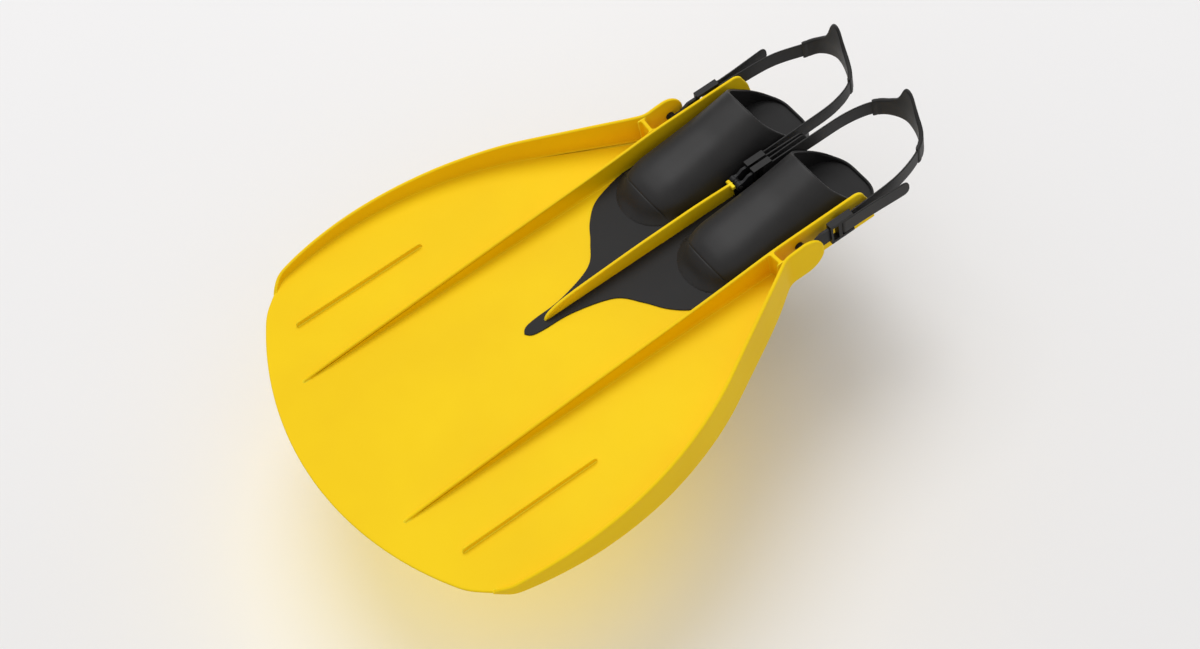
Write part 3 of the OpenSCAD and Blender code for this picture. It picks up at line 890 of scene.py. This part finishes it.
# %% Sole outline and hollow plate
def sole_outline(depth=0.0):
    """Outline of one sole: a round toe and a rounder heel."""
    toe = arc((0, toe_centre), pocket_r - depth, 180, 360, 48)
    heel_y = sole_high[1] - SOLE_R
    right = arc((pocket_r - SOLE_R, heel_y), SOLE_R - depth, 0, 90, 14)
    left = arc((SOLE_R - pocket_r, heel_y), SOLE_R - depth, 90, 180, 14)
    return np.vstack([toe, right, left])


def hollow_plate(outline, low, high, edge, bay_inset, bay_rise, dish):
    """A plate dished on top, with a shallow bay underneath."""
    points, faces = plate(outline, low, high, edge, dish)
    n = len(outline)
    ring = inset(outline, edge + bay_inset)
    middle = np.c_[inset(outline, edge + bay_inset + bay_rise), np.full(n, low + bay_rise)]
    flat = np.c_[ring, np.full(n, low)]
    start = len(points)
    faces = [f for f in faces if f != tuple(range(n - 1, -1, -1))]
    for j in range(n):
        k = (j + 1) % n
        faces.append((j, k, start + k, start + j))
        faces.append((start + j, start + k, start + n + k, start + n + j))
    faces.append(tuple(range(start + 2 * n - 1, start + n - 1, -1)))
    return np.vstack([points, flat, middle]), faces


print("sole length, mm:", round(np.ptp(sole_outline()[:, 1]), 1))

# %% [markdown]
# A lip stands round the heel end, so the heel sits in a shallow tray. It is one short wall that sinks
# towards the very end. The tread bars lie across the bay underneath.

# %% Soles
sole_base = sole_low[2]
sole = hollow_plate(sole_outline(), sole_base, SOLE_TOP, 2.0, 5.0, 1.4, [(7, 0), (11, 0.4), (18, 0.9)])
heel_ring = sole_outline(1.9)[48:]
heel_ring = np.vstack([[(pocket_r - 1.9, 396)], heel_ring, [(1.9 - pocket_r, 396)]])
heel_ring = even(heel_ring, 1.5, 3)
lip_top = eased(heel_ring[:, 1], [(396, 8), (403, 6), (421, -8), (433, -15), (442, -18.5)], 4)
bars = [wall(heel_ring, np.full(len(heel_ring), 1.7), np.full(len(heel_ring), -23.0), lip_top, 1.5)]
for y in np.arange(toe_y + 26, sole_high[1] - 26, 12.0):
    reach = min(toe_half(np.array(y), 9.0), 43.0)
    bar = [(-reach, y), (0, y + 6), (reach, y), (reach, y + 5), (0, y + 11), (-reach, y + 5)]
    bars.append(plate(bar, sole_base, sole_base + 1.9, 0.5))
for sign, word in ((1, "right"), (-1, "left")):
    shift = np.array([sign * pocket_x, 0, 0])
    make_piece(f"sole_plate_{word}", [(p + shift, f) for p, f in [sole] + bars], "fin", sole_rubber,
               [f"sole_{word}"])

# %% [markdown]
# ## Heel straps
# Each strap is a flat rubber band. A free tail comes out of the outer buckle, turns round its roller, goes
# round the heel, turns round the inner roller and ends in a second tail. The band is swept as a wall with
# rounded edges along the same line as in the CAD, so it stays in the buckles' mouths.

# %% Strap line
roller_out_low, roller_out_high = drawn("roller_outer_right")
roller_in_low, roller_in_high = drawn("roller_inner_right")
out_x = (roller_out_low[0] + roller_out_high[0]) / 2
in_x = (roller_in_low[0] + roller_in_high[0]) / 2
turn_y = (roller_out_low[1] + roller_out_high[1]) / 2
turn_in = (roller_in_low[1] + roller_in_high[1]) / 2
strap_z = (roller_out_low[2] + roller_out_high[2]) / 2
STRAP_T, STRAP_W = 2.2, 22.0
ROLLER_R, ROLLER_GAP = 1.9, 0.3
turn_r = ROLLER_R + ROLLER_GAP + STRAP_T / 2
tail = [(140, 456), (139, 437), (137.5, 413), (136.5, 390), (out_x + turn_r, turn_y + 8),
        (out_x + turn_r, turn_y)]
heel = [(out_x - turn_r, turn_y, strap_z), (out_x - turn_r, turn_y + 14, strap_z), (129, 402, strap_z),
        (125, 452, 17), (112, 492, 17), (97, 510, 25), (69, 516, 34), (42, 510, 30), (22, 496, 22),
        (12, 464, 19), (in_x + turn_r + 0.6, 418, 18), (in_x + turn_r, turn_in + 20, strap_z),
        (in_x + turn_r, turn_in, strap_z)]
inner_tail = [(in_x - turn_r, turn_in), (in_x - turn_r, turn_in + 16), (2.4, 384), (2.0, 410)]


def at_height(points, z):
    """The points of a level line, lifted to one height."""
    return np.c_[np.array(points, float), np.full(len(points), z)]


heel_line = flowing(heel, 12)
strap_line = even(np.vstack([
    at_height(flowing(tail, 8), strap_z), at_height(arc((out_x, turn_y), turn_r, -12, -168, 14), strap_z),
    heel_line, at_height(arc((in_x, turn_in), turn_r, -12, -168, 14), strap_z),
    at_height(flowing(inner_tail, 6), strap_z)]), 1.0)
print("strap length, mm:", len(strap_line))

# %% [markdown]
# ### Strap bands
# The band keeps one width and one thickness; only its two free ends are rounded. The wall helper gives it
# soft edges, which catch a thin line of light as real rubber does.

# %% Straps
END_LENGTH = 9.0
count = len(strap_line)
from_end = np.minimum(np.arange(count), np.arange(count)[::-1]) * 1.0
rounding = np.clip(from_end / END_LENGTH, 0.001, 1)
strap_half = STRAP_W / 2 * (0.3 + 0.7 * np.sqrt(1 - (1 - rounding) ** 2))
strap = wall(strap_line[:, :2], np.full(count, STRAP_T / 2), strap_line[:, 2] - strap_half,
             strap_line[:, 2] + strap_half, 0.9)
make_pair("heel_strap", [strap], "harness_{}", strap_rubber, "strap")

# %% [markdown]
# ### Heel pads
# The pad is a thicker sleeve on the strap that spreads its pull over the heel. Its middle rises into a tab
# with an oval thumb hollow, by which the swimmer pulls the strap on and off. It is built as rings too, with
# enough points up each ring to press the hollow in.

# %% Heel pad rings
PAD_HALF, PAD_LOW, TAB_RISE = 2.8, -14.0, 33.0
THUMB_Z, THUMB_DEPTH = 33.0, 1.0
PAD_FROM, PAD_TO = 48, 97
pad_line = even(heel_line[PAD_FROM:PAD_TO], 1.0)
pad_share = np.abs(np.linspace(-1, 1, len(pad_line)))
TAB = [(0, 1), (0.1, 0.96), (0.17, 0.75), (0.25, 0.42), (0.36, 0.14), (0.6, 0), (1, 0)]
tab_rise = eased(1 - pad_share, [(1 - q, v) for q, v in TAB[::-1]], 0.05)
pad_side = across(pad_line)
pad_run = np.arange(len(pad_line)) * 1.0
pad_out = np.minimum(pad_run, pad_run[::-1])


def pad_ring(i):
    """One ring of the pad: up its outer face, over the top and down its inner face."""
    low, high = PAD_LOW, -PAD_LOW + TAB_RISE * tab_rise[i]
    share = 0.5 - 0.5 * np.cos(np.linspace(0.0, math.pi, 26))
    z = low + (high - low) * share
    thick = PAD_HALF - 0.7 * np.clip((z - 12) / 18, 0, 1)
    end_taper = 0.35 * math.exp(-((pad_out[i] / 1.2) ** 2))
    mould_line = 0.16 * math.exp(-(((pad_out[i] - 7) / 0.9) ** 2))
    thick *= 1 - end_taper - mould_line
    near = np.clip(np.minimum(z - low, high - z) / 2.4, 0.02, 1)
    half_t = thick * np.sqrt(1 - (1 - near) ** 2)
    away = np.hypot((i - (len(pad_line) - 1) / 2) / 4.2, (z - THUMB_Z) / 7.5)
    hollow = THUMB_DEPTH * np.clip(1.25 - away, 0, 0.4) / 0.4
    outer_face = np.c_[half_t - hollow, z]
    inner_face = np.c_[-half_t, z][::-1]
    section = np.vstack([outer_face, inner_face])
    base = pad_line[i]
    return base + section[:, :1] * pad_side[i] + section[:, 1:] * np.array([0, 0, 1.0])


print("pad rings:", len(pad_line))

# %% [markdown]
# Both pads come from the same rings.

# %% Heel pads
pad = loft([pad_ring(i) for i in range(len(pad_line))])
for piece in make_pair("heel_sleeve", [pad], "harness_{}", pad_rubber, "heel_pad"):
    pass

# %% [markdown]
# ## Buckles
# A buckle frame, its swivel link and the centre lug are stiff parts whose CAD shapes are already right.
# A copy of each mesh gets its edges rounded in mesh code, since a moulded corner is never sharp.

# %% Rounded copies
SHARP_FROM = 0.6


def rounded_copy(name, node, width, body, material):
    """A copy of a CAD node's mesh with its sharp edges bevelled."""
    mesh = bpy.data.meshes.new(name)
    work = bmesh.new()
    work.from_mesh(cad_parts[node].data)
    bmesh.ops.remove_doubles(work, verts=work.verts, dist=1e-6)
    bmesh.ops.dissolve_limit(work, angle_limit=math.radians(1), verts=work.verts, edges=work.edges)
    sharp = [e for e in work.edges if len(e.link_faces) == 2 and e.calc_face_angle() > SHARP_FROM]
    bmesh.ops.bevel(work, geom=sharp, offset=width * MM, segments=3, profile=0.5, affect="EDGES",
                    clamp_overlap=True)
    bmesh.ops.recalc_face_normals(work, faces=work.faces)
    work.to_mesh(mesh)
    work.free()
    mesh.materials.clear()
    piece = bpy.data.objects.new(name, mesh)
    scene.collection.objects.link(piece)
    return finish_mesh(piece, body, material, [node])


for word in ("left", "right"):
    for end in ("outer", "inner"):
        rounded_copy(f"buckle_{end}_{word}", f"frame_{end}_{word}", 0.7, f"harness_{word}",
                     buckle_acetal)
        rounded_copy(f"swivel_{end}_{word}", f"link_{end}_{word}", 0.5, f"harness_{word}",
                     link_acetal)
rounded_copy("chassis", "centre_bridge", 0.8, "fin", buckle_acetal)

# %% [markdown]
# ### Pins and rollers
# Plain turned rods: the CAD shapes are right as they are and only need the steel.

# %% Steel on the CAD rods
for node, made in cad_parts.items():
    if node.startswith(("pin_", "roller_")):
        made.material_slots[0].material = steel
        print(node, "in steel")
